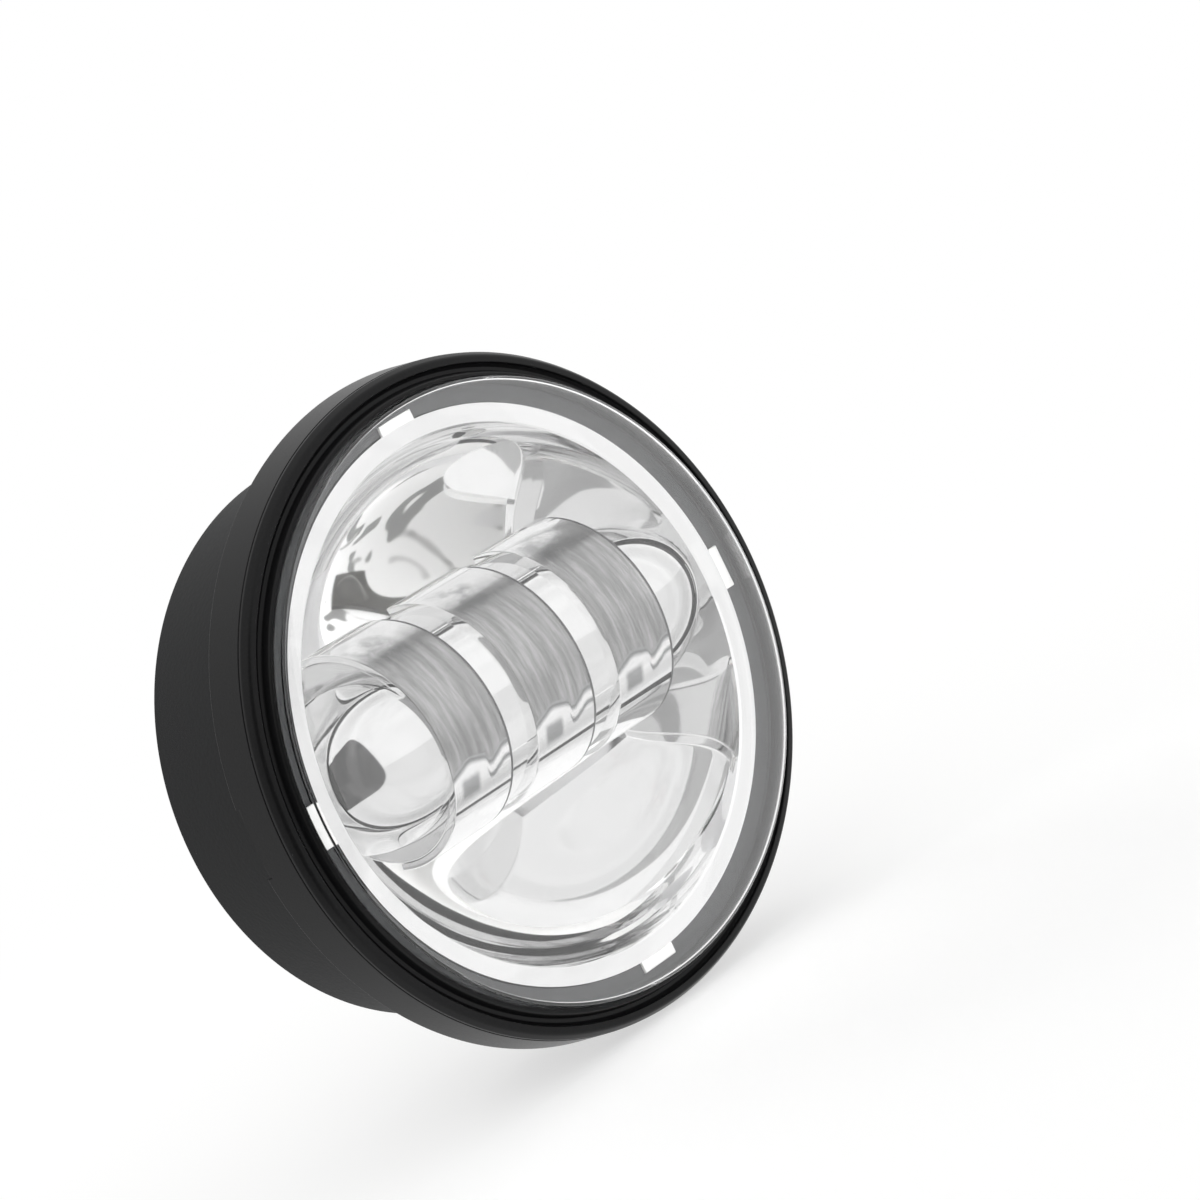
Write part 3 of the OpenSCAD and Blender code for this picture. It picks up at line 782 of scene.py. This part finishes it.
BODY_LEN, BASE_T = 29.8, 2.4
SHELF_R, MOUTH_R = 42.4, 46.4
BOSS_HOLE, BOSS_OUT, BOSS_FROM, HOLE_FROM, RIB_HALF = 1.6, 3.6, 16, 18.5, 2
BOSS_R, BOSS_ANGLES = 38.5, range(30, 390, 60)
base_y = BODY_LEN - BASE_T
shelf_y = base_y - SEAL_T
boss_places = on_circle(BOSS_R, BOSS_ANGLES)
tube = turned_mesh([
    (CAVITY_R, SOCKET_Y, 0.3), (SPIGOT_R, SOCKET_Y, 0.3), (SPIGOT_R, cone_y), (BODY_R, 0),
    (BODY_R, BODY_LEN - 1, 0.5), (BODY_R - 1, BODY_LEN, 0.5), (MOUTH_R, BODY_LEN, 0.2), (MOUTH_R, shelf_y),
    (SHELF_R, shelf_y), (SHELF_R, shelf_y - 2), (CAVITY_R, shelf_y - 4)])
boss = [(BOSS_HOLE, HOLE_FROM), (BOSS_HOLE, base_y), (BOSS_OUT, base_y), (BOSS_OUT, BOSS_FROM, 0.5),
        (0, BOSS_FROM), (0, HOLE_FROM)]
bosses = [turned_mesh(boss, steps=32, place=p) for p in boss_places]
corners, faces = block((BOSS_R, BOSS_FROM, -RIB_HALF), (CAVITY_R + 0.3, shelf_y, RIB_HALF))
ribs = [([Matrix.Rotation(math.radians(-a), 3, "Y") @ Vector(v) for v in corners], faces)
        for a in BOSS_ANGLES]
seat(many("cast_body", [tube] + bosses + ribs, powder_coat), "black_casting", "housing")


# %% [markdown]
# ## Reflector
#
# An elliptical bowl with a flat rim, and four tabs on the rim that centre it in the frame. At the back a slot
# lets the bar's core through.

# %% Reflector
rim_y = reach("reflector")[0]
BOWL_R, BOWL_DEPTH, BOWL_T = 44.2, 29.3, 1.3
CORE_Z, WEB_X, SLOT_Z, SLOT_X = 4.0, 20.0, 0.6, 0.8    # half sizes of the core's web, and room round it
SLOT_FRONT, SLOT_REAR = 5, 25
LEAD_X, LEAD_Z = 6, 7.4    # room beside the web for the leads


def bowl(radius, y0, depth, count=72):
    """Points of half an ellipse, from its rim to its bottom."""
    return [(radius * math.cos(math.pi / 2 * i / count), y0 + depth * math.sin(math.pi / 2 * i / count))
            for i in range(count + 1)]


reflector = turned("reflector_bowl", [(RIM_R, floor_y), (RIM_R, rim_y, 0.08), (BOWL_R + 0.3, rim_y, 0.15)]
                   + bowl(BOWL_R, rim_y + 0.3, BOWL_DEPTH - 0.3)
                   + bowl(BOWL_R + BOWL_T, floor_y, BOWL_DEPTH + BOWL_T + rim_y - floor_y)[::-1], plating)
for x0, x1, half in ((-WEB_X - SLOT_X, WEB_X + SLOT_X, CORE_Z + SLOT_Z), (-WEB_X - LEAD_X, -WEB_X, LEAD_Z)):
    cut(reflector, mesh_piece("slot", *block((x0, SLOT_FRONT, BAR_Z - half), (x1, SLOT_REAR, BAR_Z + half)),
                              plating))
seat(reflector, "chrome_plating", "reflector")

# %% Tabs
TAB_W, TAB_R, TAB_T, TAB_EDGE = 7.4, RIM_R + 1.8, 0.6, 0.12
corners, faces = block((RIM_R - 0.3, rim_y, -TAB_W / 2), (TAB_R, rim_y + TAB_T, TAB_W / 2))
tabs = many("rim_tabs", [([Matrix.Rotation(math.radians(a), 3, "Y") @ Vector(v) for v in corners], faces)
                         for a in range(0, 360, 90)], thin_plating)
soften(tabs, TAB_EDGE)
seat(tabs, "chrome_plating")


# %% [markdown]
# ## Light bar
#
# The bar hides the LED boards and throws their light back into the bowl. Its plated shell shows in the two
# grooves, three brushed bands stand proud of it, and a dome closes each end.

# %% Shell and bands
WRAP = math.radians(98)    # how far the bar reaches round its axis, either way
GROOVE, SHELL_T, PLATE_T = 1.2, 1.5, 1.2
SHELL_R = BAND_R - GROOVE
BAND_IN, BAND_OUT = 13.1, 26.7
BAND_EDGE, SHADOW_LINE_WIDTH, EDGE_BACK = 0.2, 0.6, 0.5    # a band's rounded edge, and the painted shadow line beside it: its width and how far back it is painted
END_FACE = 0.9    # a face that looks this squarely along X is an end
SEAMS, SEAM_WIDTH, SEAM_DEPTH = (52, -28, -45), 0.8, 0.12    # degrees, degrees, millimetres
NEAR_SURFACE = 0.3


def bar_arc(name, outline, material, steps=150, seams=()):
    """A closed outline of (x, radius) swept round the bar, open at the back, with seams at some angles."""
    points = rounded(outline)
    count = len(points)
    angles = [(WRAP * (2 * k / steps - 1), 0) for k in range(steps + 1)]
    for seam in seams:
        middle, half = math.radians(seam), math.radians(SEAM_WIDTH / 2)
        angles = [a for a in angles if abs(a[0] - middle) > half * 1.2]
        angles += [(middle - half, 0), (middle, SEAM_DEPTH), (middle + half, 0)]
    angles.sort()
    outer = max(r for x, r in points)
    vertices, faces = [], []
    for a, depth in angles:
        for x, r in points:
            r -= depth if r > outer - NEAR_SURFACE else 0
            vertices.append((x, BAR_Y - r * math.cos(a), BAR_Z + r * math.sin(a)))
    for k in range(len(angles) - 1):
        for i in range(count):
            j = (i + 1) % count
            faces.append((k * count + i, k * count + j, (k + 1) * count + j, (k + 1) * count + i))
    faces += [tuple(range(count)), tuple(range((len(angles) - 1) * count, len(angles) * count))]
    return mesh_piece(name, vertices, faces, material)


def repaint(piece, material, applies):
    """Another finish for the faces where applies(face, x, y, distance from the bar's axis) is true."""
    piece.data.materials.append(material)
    for face in piece.data.polygons:
        x, y, z = face.center / MM
        if applies(face, x, y, math.hypot(y - BAR_Y, z - BAR_Z)):
            face.material_index = len(piece.data.materials) - 1


def bare_inside(piece, radius, reach_x):
    """Leaves the inside of the bar unplated: faces nearer to its axis than a radius, and between the ends."""
    repaint(piece, white_moulding, lambda face, x, y, r: abs(x) < reach_x and r < radius)


def finish_ends(piece, x1):
    """Leaves a band's ends unbrushed, with a thin painted shadow line along its right edge."""
    repaint(piece, shadow_line, lambda face, x, y, r: x > x1 - SHADOW_LINE_WIDTH and y < EDGE_BACK)
    repaint(piece, plating, lambda face, x, y, r: abs(face.normal.x) > END_FACE)


shell_x = BAND_OUT - PLATE_T
shell = bar_arc("bar_shell_plated", [
    (-shell_x, SHELL_R - SHELL_T, 0.2), (shell_x, SHELL_R - SHELL_T, 0.2), (shell_x, SHELL_R, 0.1),
    (-shell_x, SHELL_R, 0.1)], bar_plating, seams=SEAMS)
bare_inside(shell, SHELL_R - 0.2, shell_x)
seat(shell, "chrome_plating", "bar_shell")
for side, x0, x1 in (("left", -BAND_OUT, -BAND_IN), ("middle", -BAND_HALF, BAND_HALF),
                     ("right", BAND_IN, BAND_OUT)):
    band = bar_arc(f"band_{side}", [(x0, SHELL_R), (x1, SHELL_R), (x1, BAND_R, BAND_EDGE),
                                    (x1 - SHADOW_LINE_WIDTH, BAND_R), (x0, BAND_R, BAND_EDGE)], brushed)
    finish_ends(band, x1)
    seat(band, "chrome_plating", f"bar_band_{side}")

# %% End domes
DOME_R, DOME_LEN, DOME_T, DOME_STEPS = 14.2, 18.4, 1.4, 48
DOME_Y = BAR_Y - 4.1
SHADE_RING_R, PLATE_BACK, FAR = 14.6, 12, 60
BOWL_GAP, INSIDE = 0.2, 0.1


def along_x(part, side, y):
    """A part turned round Y, laid along X on one side, with its axis at y."""
    vertices, faces = part
    return [(side * v[1], y + v[0], BAR_Z + v[2]) for v in vertices], faces


dome = turned_mesh(bowl(DOME_R, BAND_OUT, DOME_LEN, DOME_STEPS)
                   + bowl(DOME_R - DOME_T, BAND_OUT, DOME_LEN - DOME_T, DOME_STEPS)[::-1], steps=160)
plate_edge = SHELL_R - 0.05
end_plate = turned_mesh([(0, shell_x), (SHADE_RING_R, shell_x), (plate_edge, shell_x), (plate_edge, BAND_OUT, 0.3),
                         (0, BAND_OUT)], steps=120)
space_outline = [(0, DOME_Y - DOME_R - 1), (BOWL_R - BOWL_GAP, DOME_Y - DOME_R - 1)] + bowl(
    BOWL_R - BOWL_GAP, rim_y, BOWL_DEPTH - 0.3)
for side, name in ((-1, "left"), (1, "right")):
    end = mesh_piece(f"dome_{name}", *along_x(dome, side, DOME_Y), dome_plating)
    cut(end, turned("space in the bowl", space_outline, dome_plating, steps=144), "INTERSECT")
    plate = mesh_piece("plate", *along_x(end_plate, side, BAR_Y), bar_plating)
    cut(plate, mesh_piece("back", *block((-FAR, PLATE_BACK, -FAR), (FAR, FAR, FAR)), bar_plating))
    bare_inside(plate, SHADE_RING_R, shell_x + INSIDE)
    # Painted shade: a black ring on the outer part of each end plate's inner face stands in for the dark gap
    # at the plate's edge, and the bowl mirrors it as thin dark crescents.
    repaint(plate, rubber, lambda face, x, y, r: abs(x) < shell_x + INSIDE and SHADE_RING_R < r)    # painted shade ring
    seat(plate, "chrome_plating")
    plate.name = f"end_plate_{name}"
    seat(end, "chrome_plating", f"bar_end_{name}")

# %% [markdown]
# ## Rear cover and fins
#
# The heat sink is the rear cover too: a cast disc with thirteen upright fins, lowest at the rim so that the
# whole fits inside a cone. Cast fins have rounded crests, so each fin starts as a flat bar with two rounded
# edges. Rods cut the room for screwdriver, vent and cable gland out of all the fins at once.

# %% Fins
FIN_COUNT, FIN_T, FIN_SPAN, FIN_H, FIN_HALF = 13, 1.8, 72, 16.2, 45
FIN_ROOT, FIN_TIP, CREST_ROUND = 42, 34, 0.7
POST_R, POST_ANGLES, CORE_SCREW_X = 29.5, (90, 210, 330), 12
gland_top = BODY_LEN + FIN_H
post_places = on_circle(POST_R, POST_ANGLES)
core_places = [(-CORE_SCREW_X, BAR_Z), (CORE_SCREW_X, BAR_Z)]
VENT_PLACE, GLAND_PLACE = (0, 24), (0, -22)
ROOM_R, HOLE_R = (3.7, 4.6, 5.2, 10.4), (1.65, 2.1, 2.5, 6.05)    # rods for the fins and the disc


def rods(name, radii, y0, y1):
    """Cutting rods along Y, with one radius each for cover screws, core screws, vent and gland."""
    places = (boss_places, core_places, [VENT_PLACE], [GLAND_PLACE])
    return many(name, [turned_mesh([(0, y0), (r, y0), (r, y1), (0, y1)], steps=48, place=p)
                       for r, group in zip(radii, places) for p in group], powder_coat)


def fin(x):
    """A flat bar with a rounded crest."""
    x0, x1, root_y, crest = x - FIN_T / 2, x + FIN_T / 2, BODY_LEN - 0.3, (gland_top, CREST_ROUND)
    outline = rounded([(x0, root_y), (x1, root_y), (x1, *crest), (x0, *crest)])
    count = len(outline)
    vertices = [(p.x, p.y, z) for z in (-FIN_HALF, FIN_HALF) for p in outline]
    faces = [tuple(range(count)), tuple(range(count, 2 * count))]
    faces += [(i, (i + 1) % count, (i + 1) % count + count, i + count) for i in range(count)]
    return vertices, faces


fins = many("cooling_fins", [fin(FIN_SPAN * (i / (FIN_COUNT - 1) - 0.5)) for i in range(FIN_COUNT)],
            powder_coat)
slope = (FIN_ROOT - FIN_TIP) / (FIN_H + 0.5)
cut(fins, turned("cone", [(0, BODY_LEN - 1), (FIN_ROOT + slope / 2, BODY_LEN - 1),
                          (FIN_TIP - slope, gland_top + 1), (0, gland_top + 1)], powder_coat, steps=192),
    "INTERSECT")
cut(fins, rods("rods", ROOM_R, BODY_LEN - 2, gland_top + 2))
soften(fins, 0.25)
seat(fins, "black_casting", "heat_sink")

# %% Cover disc and posts
disc_r = MOUTH_R - 0.3
disc = turned("rear_cover", [(0, base_y), (disc_r, base_y, 0.2), (disc_r, BODY_LEN, 0.4), (0, BODY_LEN)],
              powder_coat)
cut(disc, rods("drill", HOLE_R, base_y - 1, BODY_LEN + 1))
seat(disc, "black_casting")
POST_HOLE, POST_OUT, POST_FROM = 1.05, 2.5, 21.8
post = [(POST_HOLE, POST_FROM), (POST_OUT, POST_FROM, 0.2), (POST_OUT, base_y), (POST_HOLE, base_y)]
seat(many("driver_posts", [turned_mesh(post, steps=32, place=p) for p in post_places], powder_coat),
     "black_casting")


# %% [markdown]
# ## Screws, vent and cable gland
#
# Pan heads with a hexagon socket close the cover. The vent lets the lamp breathe through a membrane under a
# small cap, and the gland holds the supply cable in a rubber seal, squeezed by a cap nut. Hexagons are turned
# outlines too: a shape function gives the radius at each angle, and its corners are turned off a little.

# %% Hexagons
HEX_STEPS = 96
CORNERS_OFF = 0.985


def hexagon(applies):
    """A shape function that makes a hexagon of the outline where applies(radius, y) is true."""
    def radius_at(angle, radius, y):
        if not applies(radius, y):
            return radius
        sixth = angle % (math.pi / 3) - math.pi / 6
        return radius * min(CORNERS_OFF, math.cos(math.pi / 6) / math.cos(sixth))
    return radius_at


# %% Screws
HEAD_R, HEAD_H, SOCKET_R, SOCKET_FLOOR = 1.8, 1.4, 0.9, 0.7    # shares of the thread's radius


def socket_screw(r, y, length, place):
    """A pan head screw with its head at y and its shank in front of it."""
    head, socket, top, bottom = HEAD_R * r, SOCKET_R * r, y + HEAD_H * r, y + SOCKET_FLOOR * r
    outline = [(0, y - length), (r, y - length, 0.3 * r), (r, y), (head, y, 0.1), (head, top, 0.5 * r),
               (socket, top, 0.1), (socket, bottom), (0, bottom)]
    return turned_mesh(outline, steps=HEX_STEPS, place=place,
                       shape=hexagon(lambda radius, at: radius < socket + 0.15 and at > bottom - 0.01))


for name, node, radius, length, places in (("cover_screws_steel", "cover_screws", 1.5, 10, boss_places),
                                           ("core_screws_steel", "core_screws", 2, 14, core_places)):
    seat(many(name, [socket_screw(radius, BODY_LEN, length, p) for p in places], zinc_steel),
         "screw_steel", node)

# %% Vent
NOTCHES, NOTCH_CUT, NOTCH_FROM = 12, 0.25, 4
STEM_R, CAP_R, CAP_H, KNOB_R, KNOB_H = 2.45, 4.2, 1.2, 3.4, 1.8


def notched(angle, radius, y):
    """Shallow notches round the vent's cap."""
    on_cap = radius > NOTCH_FROM and y > BODY_LEN + 0.3
    return radius - (NOTCH_CUT * max(0, math.cos(NOTCHES * angle)) ** 4 if on_cap else 0)


seat(turned("vent_cap", [(0, base_y), (STEM_R, base_y, 0.2), (STEM_R, BODY_LEN), (CAP_R, BODY_LEN, 0.1),
                         (CAP_R, BODY_LEN + CAP_H, 0.3), (KNOB_R, BODY_LEN + CAP_H),
                         (KNOB_R, BODY_LEN + KNOB_H, 0.4), (0, BODY_LEN + KNOB_H)], nylon,
            steps=HEX_STEPS, place=VENT_PLACE, shape=notched), "black_moulding", "vent_plug")

# %% Cable gland
HEX_R, THREAD_R, CABLE_R, SEAT_R = 8.66, 6.0, 3.1, 4.6
NUT_NECK, NUT_MOUTH, WASHER_IN, WASHER_OUT = 7.3, 5.2, 6.05, 8.4
seal_y, seal_rear, thread_end = gland_top - 10, gland_top - 4.4, gland_top - 5
nut_y, flat_top, washer_y = gland_top - 9.6, gland_top - 3, BODY_LEN + 1
lock_y, body_front = base_y - 2.8, base_y - 3.2
GLAND = {"steps": HEX_STEPS, "place": GLAND_PLACE}
on_body = hexagon(lambda radius, y: radius > THREAD_R + 0.1)
on_nut = hexagon(lambda radius, y: radius > NUT_NECK + 0.05 and y < flat_top + 0.1)
on_locknut = hexagon(lambda radius, y: radius > THREAD_R + 0.5)
seat(turned("gland_body_nylon", [
    (CABLE_R, body_front), (THREAD_R, body_front, 0.3), (THREAD_R, washer_y), (HEX_R, washer_y, 0.3),
    (HEX_R, BODY_LEN + 5, 0.4), (THREAD_R, BODY_LEN + 5), (THREAD_R, thread_end, 0.3), (SEAT_R, thread_end),
    (SEAT_R, seal_y), (CABLE_R, seal_y)], nylon, shape=on_body, **GLAND), "black_moulding", "gland_body")
seat(turned("gland_cap_nut", [
    (THREAD_R, nut_y, 0.2), (HEX_R, nut_y, 0.4), (HEX_R, flat_top, 0.5), (NUT_NECK, flat_top),
    (NUT_MOUTH, gland_top, 0.6), (CABLE_R, gland_top, 0.4), (CABLE_R, seal_rear), (THREAD_R, seal_rear)],
    nylon, shape=on_nut, **GLAND), "black_moulding", "gland_nut")
seat(turned("gland_locknut_steel", [
    (THREAD_R, lock_y, 0.2), (HEX_R, lock_y, 0.3), (HEX_R, base_y, 0.3), (THREAD_R, base_y, 0.2)],
    zinc_steel, shape=on_locknut, **GLAND), "screw_steel", "gland_locknut")

# %% Seals
BOND_IN, BOND_OUT, BOND_T = 53.6, 54.8, 0.8
for name, node, outline, options in (
        ("gland_sealing_washer", "gland_washer", [
            (WASHER_IN, BODY_LEN, 0.1), (WASHER_OUT, BODY_LEN, 0.2), (WASHER_OUT, washer_y, 0.3),
            (WASHER_IN, washer_y, 0.1)], GLAND),
        ("gland_cable_seal", "gland_seal", washer(CABLE_R, SEAT_R, seal_y, seal_rear, 0.2), GLAND),
        ("rear_seal_ring", "cover_seal", washer(SHELF_R + 0.2, disc_r, shelf_y, base_y, 0.2), {}),
        ("frame_seal_ring", "frame_seal", washer(CAVITY_R, SPIGOT_R, socket_end, SOCKET_Y, 0.2), {}),
        ("ring_sealant", "ring_bond", washer(BOND_IN, BOND_OUT, joint_y, joint_y + BOND_T, 0.2), {})):
    seat(turned(name, outline, rubber, **options), "black_rubber", node)
